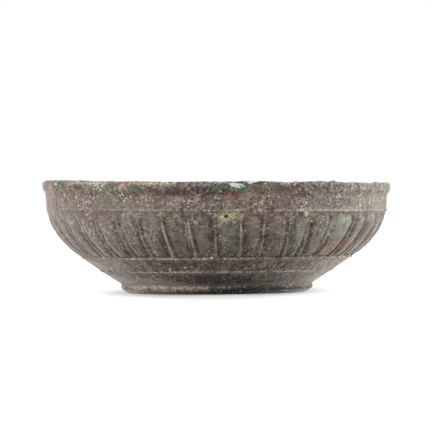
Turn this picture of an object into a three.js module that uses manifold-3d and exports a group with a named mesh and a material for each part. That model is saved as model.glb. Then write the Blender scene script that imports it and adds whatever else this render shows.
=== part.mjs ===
// A cast bronze bowl with forty chased tongues, standing on a low ring foot that is soldered under it.
// Millimetres, +Z up. The origin is the centre of the foot's resting face, and -Y is the front.
// The lip, band, fillets and floor are turned forms. The tongues are one worked ring joined between them.
// The bowl leans a little on its foot, and its lip is worn uneven, as on the real one.
import * as THREE from "three";
import { mergeVertices } from "three/addons/utils/BufferGeometryUtils.js";
import Module from "manifold-3d";

const wasm = await Module();
wasm.setup();

// Driving sizes of the whole bowl
const HEIGHT = 48;
const LIP_RADIUS = 75;
const BAND_RADIUS = 73.4;
const SEAT_HEIGHT = 3.7;
const SEAT_RADIUS = 41.2;
const SEAT_CHAMFER = 0.2;
const WALL = 1.7;
const LEAN_DEGREES = 0.9;

// The thickened lip, and how unevenly its top is worn round the bowl
const LIP_DEPTH = 5;
const LIP_INNER_RADIUS = 72;
const LIP_ROUNDING = 1;
const LIP_STEP = 0.6;
const RIM_WEAR = 0.45;
const RIM_WAVES = [
  { turns: 3, depth: 0.2, phase: 1 },
  { turns: 8, depth: 0.15, phase: 0 },
  { turns: 17, depth: 0.1, phase: 2 },
];

// The three raised fillets, each a half-round line round the wall
const UPPER_FILLET = { radius: 73.2, height: 35.4, half: 0.7, proud: 0.45 };
const MIDDLE_FILLET = { radius: 57.9, height: 15.1, half: 0.55, proud: 0.4 };
const LOWER_FILLET = { radius: 49.9, height: 9.5, half: 0.5, proud: 0.38 };
const FILLET_SHOULDER = { along: 0.6, out: 0.8 };

// The tongue frieze: its curved wall, and what the chasing tool left on it
const TONGUES = 40;
const FRIEZE_TOP_RADIUS = 73.05;
const WALL_CURVE = new THREE.CubicBezierCurve(
  new THREE.Vector2(FRIEZE_TOP_RADIUS, UPPER_FILLET.height),
  new THREE.Vector2(71.1, 25.2),
  new THREE.Vector2(62.3, 18),
  new THREE.Vector2(MIDDLE_FILLET.radius - 0.1, MIDDLE_FILLET.height),
);
const FRIEZE_LENGTH = WALL_CURVE.getLength();
const ARCH_START = 1;
const ARCH_HEIGHT = 3.6;
const ARCH_TURNS = [0, 0.3, 0.6, 1];
const ARCH_NARROWEST = 0.17;
const TONGUE_SHARE = 0.88;
const TONGUE_SHARE_AT_FOOT = 0.7;
const TAPER_START = 14;
const GROOVE_DEPTH = 0.55;
const GROOVE_HALF_WIDTH = 0.7;
const SHOULDER_SHARE = 0.55;
const CROWN_PROUD = 0.15;
const CROWN_RISE = 2;

// The floor, and the turned marks in it, inside and underneath
const FLOOR_THICKNESS = 1.9;
const FLOOR_BEND = { start: 36.7, corner: 40.2, end: 43.8, rise: 1.8 };
const CENTRE_MARK = { radius: 1.2, depth: 0.5 };
const INNER_RING_RADIUS = 15;
const UNDER_RING_RADIUS = 22;
const TURNED_RING = { half: 0.6, depth: 0.35 };

// The ring foot, from its resting face up, and the solder that holds it
const FOOT_HEIGHT = 3.3;
const FOOT_REST = { inner: 35.1, outer: 37.7 };
const FOOT_TOE = { radius: 39.3, height: 0.5 };
const FOOT_WAIST = { radius: 40.5, height: 1.4 };
const FOOT_BULGE = { radius: 41.35, height: 2.3 };
const FOOT_TOP = { inner: 34.4, outer: 40.9 };
const SOLDER = { inner: 34.8, outer: 40.6 };
const SEAM = 0.03;

const SEGMENTS = 2 * TONGUES;
const CUT_CLEARANCE = 1;

// Turns a section of (radius, height) points about the upright axis.
function turned(points) {
  return new THREE.LatheGeometry(points, SEGMENTS).rotateX(Math.PI / 2);
}

function solidFrom(geometry) {
  const bare = geometry.clone();
  bare.deleteAttribute("normal");
  bare.deleteAttribute("uv");
  const merged = mergeVertices(bare, 1e-4);
  return new wasm.Manifold(
    new wasm.Mesh({
      numProp: 3,
      vertProperties: merged.attributes.position.array,
      triVerts: new Uint32Array(merged.index.array),
    }),
  );
}

function geometryFrom(solid) {
  const mesh = solid.getMesh();
  const geometry = new THREE.BufferGeometry();
  geometry.setAttribute("position", new THREE.BufferAttribute(mesh.vertProperties, 3));
  geometry.setIndex(new THREE.BufferAttribute(mesh.triVerts, 1));
  return geometry;
}

// Adds a half-round fillet to a section that runs upwards. across is the wall's own direction there.
function addFillet(section, fillet, across) {
  const along = across.clone().normalize();
  const out = new THREE.Vector2(along.y, -along.x);
  const { along: shoulder, out: rise } = FILLET_SHOULDER;
  for (const [shift, lift] of [[-1, 0], [-shoulder, rise], [shoulder, rise], [1, 0]]) {
    const point = new THREE.Vector2(fillet.radius, fillet.height);
    point.addScaledVector(along, shift * fillet.half).addScaledVector(out, lift * fillet.proud);
    section.push(point);
  }
}

// Adds a V-shaped turned ring to a flat section that runs outwards. cut is +1 upwards into it, -1 downwards.
function addTurnedRing(section, radius, height, cut) {
  section.push(
    new THREE.Vector2(radius - TURNED_RING.half, height),
    new THREE.Vector2(radius, height + cut * TURNED_RING.depth),
    new THREE.Vector2(radius + TURNED_RING.half, height),
  );
}

// The floor and the plain lower wall, filled in to the axis. The foot's seat is its flat underside.
function lowerSection() {
  const section = [
    new THREE.Vector2(0, SEAT_HEIGHT + CENTRE_MARK.depth),
    new THREE.Vector2(CENTRE_MARK.radius, SEAT_HEIGHT),
  ];
  addTurnedRing(section, UNDER_RING_RADIUS, SEAT_HEIGHT, 1);
  section.push(new THREE.Vector2(SEAT_RADIUS - SEAT_CHAMFER, SEAT_HEIGHT));
  section.push(new THREE.Vector2(SEAT_RADIUS, SEAT_HEIGHT + SEAT_CHAMFER));
  const seatEdge = new THREE.Vector2(SEAT_RADIUS, SEAT_HEIGHT);
  const lower = new THREE.Vector2(LOWER_FILLET.radius, LOWER_FILLET.height);
  const middle = new THREE.Vector2(MIDDLE_FILLET.radius, MIDDLE_FILLET.height);
  addFillet(section, LOWER_FILLET, middle.clone().sub(seatEdge));
  addFillet(section, MIDDLE_FILLET, middle.clone().sub(lower));
  section.push(new THREE.Vector2(0, section.at(-1).y));
  return section;
}

// The upper fillet, the plain band and the thickened lip, filled in to the axis.
function upperSection() {
  const section = [new THREE.Vector2(0, UPPER_FILLET.height - UPPER_FILLET.half)];
  addFillet(section, UPPER_FILLET, new THREE.Vector2(0, 1));
  const lipFoot = HEIGHT - LIP_DEPTH;
  const lip = new THREE.Path();
  lip.moveTo(BAND_RADIUS, UPPER_FILLET.height + 2 * UPPER_FILLET.half);
  lip.lineTo(BAND_RADIUS, lipFoot - 4 * LIP_STEP);
  lip.quadraticCurveTo(BAND_RADIUS + LIP_STEP / 2, lipFoot, LIP_RADIUS - LIP_STEP, lipFoot + LIP_STEP);
  lip.lineTo(LIP_RADIUS, HEIGHT - LIP_ROUNDING);
  lip.absarc(LIP_RADIUS - LIP_ROUNDING, HEIGHT - LIP_ROUNDING, LIP_ROUNDING, 0, Math.PI / 2);
  section.push(...lip.getPoints(2));
  section.push(new THREE.Vector2(0, HEIGHT));
  return section;
}

// The hollow of the bowl, with the lip's inner edge rounded over.
function cavitySection() {
  const floor = SEAT_HEIGHT + FLOOR_THICKNESS;
  const section = [
    new THREE.Vector2(0, floor - CENTRE_MARK.depth),
    new THREE.Vector2(CENTRE_MARK.radius, floor),
  ];
  addTurnedRing(section, INNER_RING_RADIUS, floor, -1);
  const bend = new THREE.Path();
  bend.moveTo(FLOOR_BEND.start, floor);
  bend.quadraticCurveTo(FLOOR_BEND.corner, floor, FLOOR_BEND.end, floor + FLOOR_BEND.rise);
  const lip = new THREE.Path();
  const rounding = LIP_INNER_RADIUS + LIP_ROUNDING;
  lip.moveTo(LIP_INNER_RADIUS - LIP_STEP, HEIGHT - LIP_DEPTH);
  lip.lineTo(LIP_INNER_RADIUS, HEIGHT - LIP_ROUNDING);
  lip.absarc(rounding, HEIGHT - LIP_ROUNDING, LIP_ROUNDING, Math.PI, Math.PI / 2, true);
  lip.lineTo(rounding, HEIGHT + CUT_CLEARANCE);
  section.push(...bend.getPoints(2), ...insideOfWall(), ...lip.getPoints(1));
  section.push(new THREE.Vector2(0, HEIGHT + CUT_CLEARANCE));
  return section;
}

// Points of the frieze's inner side, from its foot upwards, one wall's thickness inside its curve.
function insideOfWall(steps = 4) {
  return Array.from({ length: steps + 1 }, (_, step) => {
    const t = 1 - step / steps;
    return WALL_CURVE.getPointAt(t).addScaledVector(outward(t), -WALL);
  });
}

// The direction square to the frieze's curve, away from the bowl.
function outward(t) {
  const tangent = WALL_CURVE.getTangentAt(t);
  return new THREE.Vector2(-tangent.y, tangent.x);
}

// Half the width of a tongue at a distance below the upper fillet, as a share of half its spacing.
function tongueShare(below) {
  const taper = THREE.MathUtils.smoothstep(below, TAPER_START, FRIEZE_LENGTH);
  return THREE.MathUtils.lerp(TONGUE_SHARE, TONGUE_SHARE_AT_FOOT, taper);
}

// How high a point stands in a tongue's arch: 0 where its straight sides begin, and 1 at its top.
function archRise(below) {
  return Math.max(0, (ARCH_START + ARCH_HEIGHT - below) / ARCH_HEIGHT);
}

// How far a point lies inside a tongue's outline: a round arch above, and straight sides below it.
function insideTongue(across, below, halfSpacing) {
  const side = tongueShare(below) * halfSpacing;
  const rise = archRise(below);
  if (rise > 0) return ARCH_HEIGHT * (1 - Math.hypot(across / side, rise));
  return Math.min(side - Math.abs(across), FRIEZE_LENGTH - GROOVE_HALF_WIDTH - below);
}

// The height of the worked surface: level on the ribs, a groove on the outline, and a low crown inside it.
function chasedRelief(inside) {
  const groove = GROOVE_DEPTH * Math.max(0, 1 - Math.abs(inside) / GROOVE_HALF_WIDTH);
  const crown = CROWN_PROUD * THREE.MathUtils.smoothstep(inside, 0, CROWN_RISE);
  return crown - groove;
}

// Rows down the frieze, closer together where the arches turn and where the tongues end.
function friezeRows() {
  const arch = ARCH_TURNS.map((turn) => ARCH_START + ARCH_HEIGHT * (1 - Math.cos((turn * Math.PI) / 2)));
  const foot = FRIEZE_LENGTH - GROOVE_HALF_WIDTH;
  return [0, ...arch, TAPER_START, (TAPER_START + foot) / 2, foot - CROWN_RISE / 2, foot, FRIEZE_LENGTH];
}

// Where the columns of one tongue stand, as shares of half its spacing: rib, groove, and the two shoulders.
function tongueColumns(below) {
  const narrowing = Math.max(ARCH_NARROWEST, Math.sqrt(Math.max(0, 1 - archRise(below) ** 2)));
  const groove = tongueShare(below) * narrowing;
  return [-1, -groove, -SHOULDER_SHARE * groove, SHOULDER_SHARE * groove, groove];
}

// The worked ring: a turned wall whose columns follow the tongues' outlines and rise and fall with the relief.
function friezeGeometry() {
  const rows = friezeRows().reverse();
  const points = rows.map((below) => WALL_CURVE.getPointAt(below / FRIEZE_LENGTH));
  const section = [new THREE.Vector2(0, points.at(0).y), ...points, new THREE.Vector2(0, points.at(-1).y)];
  const columnsPerTongue = tongueColumns(0).length;
  const columns = TONGUES * columnsPerTongue;
  const geometry = new THREE.LatheGeometry(section, columns);
  const position = geometry.attributes.position;
  const spacing = (2 * Math.PI) / TONGUES;
  for (let column = 0; column <= columns; column++) {
    const tongue = Math.floor(column / columnsPerTongue) % TONGUES;
    rows.forEach((below, row) => {
      const share = tongueColumns(below)[column % columnsPerTongue];
      const angle = (tongue + (share + 1) / 2) * spacing;
      const halfSpacing = (points[row].x * spacing) / 2;
      const atEnd = row === 0 || row === rows.length - 1;
      const relief = atEnd ? 0 : chasedRelief(insideTongue(share * halfSpacing, below, halfSpacing));
      const place = points[row].clone().addScaledVector(outward(below / FRIEZE_LENGTH), relief);
      const vertex = column * section.length + row + 1;
      position.setXYZ(vertex, place.x * Math.sin(angle), place.y, place.x * Math.cos(angle));
    });
  }
  return geometry.rotateX(Math.PI / 2);
}

// Leans the bowl on its foot and wears the top of its lip, without moving the seat.
function settled(geometry) {
  const position = geometry.attributes.position;
  const slope = Math.tan(THREE.MathUtils.degToRad(LEAN_DEGREES));
  for (let i = 0; i < position.count; i++) {
    const [x, y, z] = [position.getX(i), position.getY(i), position.getZ(i)];
    const risen = THREE.MathUtils.clamp((z - SEAT_HEIGHT) / (HEIGHT - SEAT_HEIGHT), 0, 1);
    const nearTop = THREE.MathUtils.smoothstep(z, HEIGHT - LIP_DEPTH, HEIGHT);
    const angle = Math.atan2(y, x);
    const waves = RIM_WAVES.map(({ turns, depth, phase }) => depth * Math.sin(turns * angle + phase));
    const worn = waves.reduce((sum, wave) => sum + wave, RIM_WEAR);
    position.setZ(i, z - x * slope * risen - worn * nearTop);
  }
  geometry.computeVertexNormals();
  return geometry;
}

function bowlBody() {
  const outside = solidFrom(turned(lowerSection()))
    .add(solidFrom(friezeGeometry()))
    .add(solidFrom(turned(upperSection())));
  return settled(geometryFrom(outside.subtract(solidFrom(turned(cavitySection())))));
}

// The foot: a low bulging ring that narrows to its resting face.
function ringFoot() {
  const section = new THREE.Path();
  section.moveTo(FOOT_REST.inner, 0);
  section.lineTo(FOOT_REST.outer, 0);
  section.quadraticCurveTo(FOOT_TOE.radius, FOOT_TOE.height, FOOT_WAIST.radius, FOOT_WAIST.height);
  section.quadraticCurveTo(FOOT_BULGE.radius, FOOT_BULGE.height, FOOT_TOP.outer, FOOT_HEIGHT);
  section.lineTo(FOOT_TOP.inner, FOOT_HEIGHT);
  section.lineTo(FOOT_REST.inner, 0);
  return turned(section.getPoints(3));
}

// The layer of soft solder between the foot's top and the bowl's seat.
function footSolder() {
  const low = FOOT_HEIGHT + SEAM;
  const high = SEAT_HEIGHT - SEAM;
  const section = new THREE.Path();
  section.moveTo(SOLDER.inner, low);
  section.lineTo(SOLDER.outer, low);
  section.lineTo(SOLDER.outer, high);
  section.lineTo(SOLDER.inner, high);
  section.lineTo(SOLDER.inner, low);
  return turned(section.getPoints());
}

function named(name, geometry, material) {
  const mesh = new THREE.Mesh(geometry, material);
  mesh.name = name;
  return mesh;
}

const brownBronze = new THREE.MeshStandardMaterial({ color: 0x6e6660, roughness: 0.75, metalness: 0.3 });
const footBronze = new THREE.MeshStandardMaterial({ color: 0x7a6e62, roughness: 0.8, metalness: 0.25 });
const greySolder = new THREE.MeshStandardMaterial({ color: 0x8c8a84, roughness: 0.7, metalness: 0.5 });

const bowl = new THREE.Group();
bowl.add(
  named("bowl_body", bowlBody(), brownBronze),
  named("ring_foot", ringFoot(), footBronze),
  named("foot_solder", footSolder(), greySolder),
);

export default bowl;
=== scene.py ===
"""A corroded bronze bowl with a frieze of tongues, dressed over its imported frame.

Metres, +Z up, -Y towards the viewer. Sizes are written in millimetres and turned into metres by MM.
"""

import logging
import math
from dataclasses import dataclass, field
from enum import Enum
from typing import Sequence, Union

import bpy
import numpy as np
from mathutils import Matrix, Vector, noise


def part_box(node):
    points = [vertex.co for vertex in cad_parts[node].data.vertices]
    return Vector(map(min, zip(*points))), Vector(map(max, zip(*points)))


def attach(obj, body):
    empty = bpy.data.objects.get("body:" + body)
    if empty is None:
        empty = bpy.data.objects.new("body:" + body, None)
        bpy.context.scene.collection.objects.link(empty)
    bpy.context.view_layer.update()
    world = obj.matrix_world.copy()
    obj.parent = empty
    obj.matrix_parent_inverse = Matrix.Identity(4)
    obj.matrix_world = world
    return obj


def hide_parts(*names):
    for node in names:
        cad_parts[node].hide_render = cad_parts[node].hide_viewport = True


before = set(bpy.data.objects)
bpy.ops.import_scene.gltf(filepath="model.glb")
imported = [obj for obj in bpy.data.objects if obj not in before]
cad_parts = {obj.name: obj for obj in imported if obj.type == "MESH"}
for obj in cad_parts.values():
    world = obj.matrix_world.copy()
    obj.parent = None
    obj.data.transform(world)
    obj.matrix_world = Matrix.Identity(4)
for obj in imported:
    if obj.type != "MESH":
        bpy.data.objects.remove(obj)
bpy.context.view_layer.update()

MM = 0.001
FULL_TURN = 2 * math.pi
BODY = "root"
LOG = logging.getLogger("bowl")

Colour = tuple[float, float, float]
Point = tuple[float, float]


def paint(red: int, green: int, blue: int) -> Colour:
    """Give a display colour, 0 to 255 a channel, as the linear colour that a shader takes.

    Args:
        red: The display value of red.
        green: The display value of green.
        blue: The display value of blue.

    Returns:
        The linear red, green and blue, each 0 to 1.
    """

    def linear(channel: int) -> float:
        share = channel / 255
        return share / 12.92 if share <= 0.04045 else ((share + 0.055) / 1.055) ** 2.4

    return linear(red), linear(green), linear(blue)


def smooth(value: np.ndarray, low: float, high: float) -> np.ndarray:
    """Rise smoothly from 0 at low to 1 at high.

    Args:
        value: The values to look up.
        low: Where the rise begins.
        high: Where it ends.

    Returns:
        The rise at each value, 0 to 1.
    """
    share = np.clip((value - low) / (high - low), 0, 1)
    return share * share * (3 - 2 * share)


class Shader(Enum):
    """The shader nodes that the finishes use."""

    PRINCIPLED = "ShaderNodeBsdfPrincipled"
    DIFFUSE = "ShaderNodeBsdfDiffuse"
    GLOW = "ShaderNodeEmission"
    SUM = "ShaderNodeAddShader"


class Value:
    """One output socket, so that shader maths reads as a plain expression."""

    def __init__(self, sheet: "NodeSheet", socket: bpy.types.NodeSocket) -> None:
        """Keep the socket and the sheet that it is on.

        Args:
            sheet: The node sheet.
            socket: The output socket.
        """
        self.sheet = sheet
        self.socket = socket

    def __add__(self, other: "Number") -> "Value":
        """Add a number or a value."""
        return self.sheet.maths("ADD", self, other)

    def __sub__(self, other: "Number") -> "Value":
        """Take a number or a value away."""
        return self.sheet.maths("SUBTRACT", self, other)

    def __rsub__(self, other: float) -> "Value":
        """Take this value away from a number."""
        return self.sheet.maths("SUBTRACT", other, self)

    def __mul__(self, other: "Number") -> "Value":
        """Multiply by a number or a value."""
        return self.sheet.maths("MULTIPLY", self, other)

    def __truediv__(self, other: "Number") -> "Value":
        """Divide by a number or a value."""
        return self.sheet.maths("DIVIDE", self, other)

    def __rtruediv__(self, other: float) -> "Value":
        """Divide a number by this value."""
        return self.sheet.maths("DIVIDE", other, self)

    __radd__ = __add__
    __rmul__ = __mul__

    def size(self) -> "Value":
        """Drop the sign."""
        return self.sheet.maths("ABSOLUTE", self)

    def rise(self, low: float, high: float) -> "Value":
        """Rise smoothly from 0 at low to 1 at high.

        Args:
            low: Where the rise begins.
            high: Where it ends. It may lie below low, and the value then falls.

        Returns:
            The rise, 0 to 1.
        """
        settings = {"interpolation_type": "SMOOTHSTEP"}
        if low > high:
            return 1.0 - self.rise(high, low)
        inputs = {"Value": self, "From Min": low, "From Max": high}
        return self.sheet.add("ShaderNodeMapRange", settings, inputs)


Number = Union[float, Value]


class NodeSheet:
    """The nodes of one material or world, with short ways to add what the finishes need."""

    def __init__(self, tree: bpy.types.NodeTree) -> None:
        """Empty the tree.

        Args:
            tree: The node tree to fill.
        """
        self.tree = tree
        tree.nodes.clear()

    def add(self, kind: str, settings: dict, inputs: dict, output: Union[int, str] = 0) -> Value:
        """Add a node, set its settings first and then its sockets.

        Args:
            kind: The node's type.
            settings: Its settings by name.
            inputs: Values or links by the socket's name or number.
            output: The output socket that the node is wanted for.

        Returns:
            That output.
        """
        node = self.tree.nodes.new(kind)
        for name, setting in settings.items():
            setattr(node, name, setting)
        for name, given in inputs.items():
            if isinstance(given, Value):
                self.tree.links.new(given.socket, node.inputs[name])
            elif isinstance(given, tuple) and node.inputs[name].type == "RGBA":
                node.inputs[name].default_value = (*given[:3], 1.0)
            else:
                node.inputs[name].default_value = given
        return Value(self, node.outputs[output] if len(node.outputs) else None)

    def maths(self, operation: str, *terms: Number) -> Value:
        """Add a Math node."""
        return self.add("ShaderNodeMath", {"operation": operation}, dict(enumerate(terms)))

    def vector_maths(self, operation: str, *terms: object) -> Value:
        """Add a Vector Math node."""
        return self.add("ShaderNodeVectorMath", {"operation": operation}, dict(enumerate(terms)))

    def blend(self, factor: Number, under: object, over: object, kind: str = "MIX") -> Value:
        """Lay one colour over another.

        Args:
            factor: How far the upper colour covers, 0 to 1.
            under: The lower colour.
            over: The upper colour.
            kind: The Mix node's way of blending.

        Returns:
            The blended colour.
        """
        settings = {"data_type": "RGBA", "blend_type": kind, "clamp_factor": True}
        return self.add("ShaderNodeMix", settings, {0: factor, 6: under, 7: over}, 2)

    def cloud(self, place: Value, fineness: float, detail: float = 3, roughness: float = 0.6) -> Value:
        """Add a noise, 0 to 1 about a half.

        Args:
            place: The coordinates, in millimetres.
            fineness: Features to a millimetre.
            detail: How many finer layers it has.
            roughness: How strong those are.

        Returns:
            The noise's value.
        """
        inputs = {"Vector": place, "Scale": fineness, "Detail": detail, "Roughness": roughness}
        return self.add("ShaderNodeTexNoise", {"noise_dimensions": "3D"}, inputs, "Fac")

    def cells(self, place: Value, fineness: float, output: str = "Distance") -> Value:
        """Add a Voronoi pattern of cells.

        Args:
            place: The coordinates, in millimetres.
            fineness: Cells to a millimetre.
            output: Its Distance or Color.

        Returns:
            That output.
        """
        return self.add("ShaderNodeTexVoronoi", {}, {"Vector": place, "Scale": fineness}, output)


def new_material(name: str) -> tuple[bpy.types.Material, NodeSheet]:
    """Make a material with an empty node sheet.

    Args:
        name: The material's name.

    Returns:
        The material and its sheet.
    """
    material = bpy.data.materials.new(name)
    material.use_nodes = True
    return material, NodeSheet(material.node_tree)


@dataclass(frozen=True)
class ColourPatch:
    """A patch of another colour on the outside, a stain or painted shade, by its place round the bowl and
    its height.
    """

    azimuth: float
    height: float
    half_width: float
    half_height: float
    colour: Colour
    cover: float = 0.7
    ragged: float = 0.5


PURPLE_BROWN = paint(84, 66, 70)
DARK_BROWN = paint(70, 60, 57)
MAUVE_GREY = paint(132, 114, 112)
DULL_BROWN = paint(98, 84, 79)
TEAL = paint(84, 124, 112)
DARK_GREEN = paint(66, 88, 74)
MINT = paint(228, 241, 224)
MINT_SHADE = paint(160, 188, 168)
PALE_GREEN = paint(150, 158, 138)
OLIVE = paint(112, 112, 88)
COPPER = paint(196, 152, 138)
COPPER_SHADE = paint(138, 100, 90)
ORANGE_BROWN = paint(146, 112, 88)
RED_BROWN = paint(118, 84, 76)
CREAM = paint(206, 198, 180)
PALE_YELLOW = paint(216, 208, 168)
LIME_WHITE = paint(232, 225, 210)
LIME_SHADE = paint(184, 172, 154)
MOSS = paint(112, 118, 82)
TAN = paint(160, 142, 120)
BLACK_PIT = paint(24, 20, 18)
NEAR_BLACK = paint(34, 31, 28)
# Colours of the painted shade and grime low on the wall and at the foot.
SHADE_GRIME_BROWN = paint(46, 38, 38)
SHADE_GRIME_GREEN = paint(54, 56, 48)
RUST = paint(176, 120, 90)
DARK_RED = paint(112, 62, 50)
LIGHT_TAN = paint(172, 156, 136)

STAINS = (
    ColourPatch(-8.5, 43.6, 13, 2.0, PURPLE_BROWN, 0.9, 0.6),
    ColourPatch(28.0, 44.6, 12, 1.6, PURPLE_BROWN, 0.7, 0.7),
    ColourPatch(-28.0, 42.0, 9, 2.0, PURPLE_BROWN, 0.5, 0.8),
    ColourPatch(-9.5, 33.4, 2.6, 1.4, PURPLE_BROWN, 0.8, 0.6),
    ColourPatch(-60.0, 40.5, 14, 3.0, RED_BROWN, 0.35, 0.8),
    ColourPatch(-48.0, 26.0, 30, 13, MAUVE_GREY, 0.4, 0.4),
    ColourPatch(-50.0, 45.9, 9, 0.9, DARK_BROWN, 0.8, 0.5),
    ColourPatch(-45.0, 47.5, 11, 0.5, PALE_GREEN, 0.7, 0.5),
    ColourPatch(-63.4, 46.4, 4, 1.2, DARK_GREEN, 0.85, 0.5),
    ColourPatch(-65.2, 47.1, 1.8, 0.5, TEAL, 1.0, 0.4),
    ColourPatch(-71.7, 44.0, 2.4, 3.2, COPPER, 0.3, 0.6),
    ColourPatch(-31.4, 46.0, 1.5, 1.5, COPPER, 0.8, 0.8),
    ColourPatch(-23.8, 47.4, 3.2, 0.7, COPPER, 0.9, 0.5),
    ColourPatch(-26.4, 46.2, 4.0, 0.5, DARK_GREEN, 0.9, 0.6),
    ColourPatch(-35.0, 46.8, 3.0, 0.9, DARK_GREEN, 0.7, 0.8),
    ColourPatch(-18.5, 47.1, 4.5, 0.8, PALE_GREEN, 0.7, 0.6),
    ColourPatch(2.0, 45.8, 5.5, 1.9, DARK_GREEN, 0.6, 0.8),
    ColourPatch(7.1, 44.6, 4.0, 0.9, TEAL, 0.6, 0.8),
    ColourPatch(15.0, 45.6, 4.5, 1.7, OLIVE, 0.6, 0.8),
    ColourPatch(14.0, 47.6, 4.0, 0.5, DARK_GREEN, 0.7, 0.5),
    ColourPatch(4.7, 42.1, 3.0, 2.2, RED_BROWN, 0.6, 0.9),
    ColourPatch(11.2, 42.3, 3.0, 1.3, COPPER, 0.45, 0.9),
    ColourPatch(10.5, 40.0, 3.5, 1.6, OLIVE, 0.4, 0.9),
    ColourPatch(-24.0, 41.0, 6.0, 2.6, RED_BROWN, 0.4, 0.9),
    ColourPatch(-35.3, 39.8, 7.0, 2.4, OLIVE, 0.45, 0.9),
    ColourPatch(-6.4, 33.8, 3.6, 2.0, OLIVE, 0.35, 0.8),
    ColourPatch(1.5, 31.2, 2.6, 1.3, PALE_GREEN, 0.45, 0.8),
    ColourPatch(-16.0, 34.2, 3.0, 2.4, OLIVE, 0.45, 0.8),
    ColourPatch(4.1, 33.3, 3.8, 1.9, PALE_YELLOW, 0.55, 1.1),
    ColourPatch(3.2, 33.3, 0.75, 0.75, BLACK_PIT, 1.0, 0.15),
    ColourPatch(48.0, 28.1, 6.0, 5.5, PALE_GREEN, 0.45, 0.7),
    ColourPatch(38.5, 29.3, 2.2, 1.7, TEAL, 0.5, 0.8),
    ColourPatch(57.5, 24.2, 2.2, 2.0, TEAL, 0.4, 0.8),
    ColourPatch(30.5, 24.5, 2.4, 5.0, PALE_GREEN, 0.5, 0.8),
    ColourPatch(46.8, 19.6, 9.0, 3.2, ORANGE_BROWN, 0.5, 0.9),
    ColourPatch(59.6, 20.3, 2.6, 2.4, RUST, 0.75, 0.4),
    ColourPatch(59.4, 20.8, 0.9, 0.9, DARK_RED, 0.9, 0.2),
    ColourPatch(62.4, 40.0, 11, 2.8, TAN, 0.3, 0.9),
    ColourPatch(40.0, 38.6, 14, 2.0, DARK_BROWN, 0.4, 0.8),
    ColourPatch(16.5, 13.0, 4.4, 2.2, LIGHT_TAN, 0.6, 0.9),
    ColourPatch(20.5, 12.6, 3.6, 1.6, PALE_GREEN, 0.6, 0.8),
    ColourPatch(21.5, 14.2, 4.5, 0.9, COPPER, 0.6, 0.8),
    ColourPatch(33.0, 12.4, 10, 2.2, OLIVE, 0.4, 0.9),
    ColourPatch(54.8, 12.9, 6.0, 2.2, PALE_GREEN, 0.5, 0.9),
    ColourPatch(26.0, 7.0, 5.0, 2.6, MOSS, 0.8, 0.8),
    ColourPatch(-45.5, 5.0, 1.6, 0.6, BLACK_PIT, 0.9, 0.3),
    ColourPatch(-33.2, 7.5, 1.4, 0.6, BLACK_PIT, 0.9, 0.3),
    ColourPatch(-30.0, 47.6, 8.0, 0.5, COPPER_SHADE, 0.6, 0.7),
    ColourPatch(56.8, 6.4, 9.0, 2.4, MOSS, 0.5, 0.9),
    # Paler tan low on the left: partly the patina's tan, partly a painted highlight where the foot's upper
    # bulge catches the light.
    ColourPatch(-34.0, 4.0, 24, 2.6, LIGHT_TAN, 0.7, 1.0),
    ColourPatch(-50.0, 39.5, 24, 5.0, DULL_BROWN, 0.35, 0.7),
    ColourPatch(52.0, 40.5, 26, 4.0, DULL_BROWN, 0.4, 0.7),
    # Tan streak on the foot's top, front left: partly patina, partly a painted highlight.
    ColourPatch(-12.0, 2.6, 14, 0.9, TAN, 0.6, 0.8),
    ColourPatch(-56.0, 2.6, 8, 0.8, COPPER, 0.35, 0.8),
    ColourPatch(-28.0, 5.0, 14, 1.4, OLIVE, 0.35, 0.9),
    ColourPatch(-12.0, 5.6, 11, 2.2, RED_BROWN, 0.35, 0.9),
    ColourPatch(120.0, 30.0, 14, 6.0, PALE_GREEN, 0.4, 0.9),
    ColourPatch(165.0, 41.0, 16, 3.0, OLIVE, 0.5, 0.9),
    ColourPatch(-150.0, 24.0, 12, 6.0, ORANGE_BROWN, 0.4, 0.9),
    ColourPatch(-110.0, 40.0, 14, 3.0, RED_BROWN, 0.45, 0.9),
    ColourPatch(-125.0, 46.5, 9, 1.4, TEAL, 0.6, 0.8),
    ColourPatch(95.0, 46.6, 8, 1.2, COPPER, 0.6, 0.8),
    ColourPatch(150.0, 46.8, 7, 1.2, MINT, 0.5, 0.8),
    ColourPatch(-170.0, 10.0, 14, 3.0, MOSS, 0.5, 0.9),
    ColourPatch(100.0, 9.0, 12, 3.0, TAN, 0.4, 0.9),
)

# Painted shade, partly grime: the lower wall darker on the front and right where the lamps reach less, the
# foot dark on the right, and a painted contact shadow along the foot's base. Laid over the grain.
PAINTED_SHADE_AND_GRIME = (
    ColourPatch(34.0, 5.0, 28, 3.0, SHADE_GRIME_GREEN, 0.5, 0.6),
    ColourPatch(34.0, 1.5, 42, 2.0, NEAR_BLACK, 0.96, 0.3),
    ColourPatch(3.0, 6.0, 19, 2.3, SHADE_GRIME_BROWN, 0.75, 0.6),
    ColourPatch(-14.0, 6.6, 14, 1.6, SHADE_GRIME_BROWN, 0.45, 0.8),
    ColourPatch(-14.0, 0.3, 60, 0.9, NEAR_BLACK, 0.95, 0.2),
    ColourPatch(-6.0, 12.0, 20, 1.7, SHADE_GRIME_BROWN, 0.2, 0.8),
)


@dataclass(frozen=True)
class RubbedHighlightLine:
    """A rib's crest worn pale and given a painted highlight, by its azimuth and height at the top and at
    the foot.
    """

    top: Point
    foot: Point
    half_width: float
    cover: float = 0.6


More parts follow.
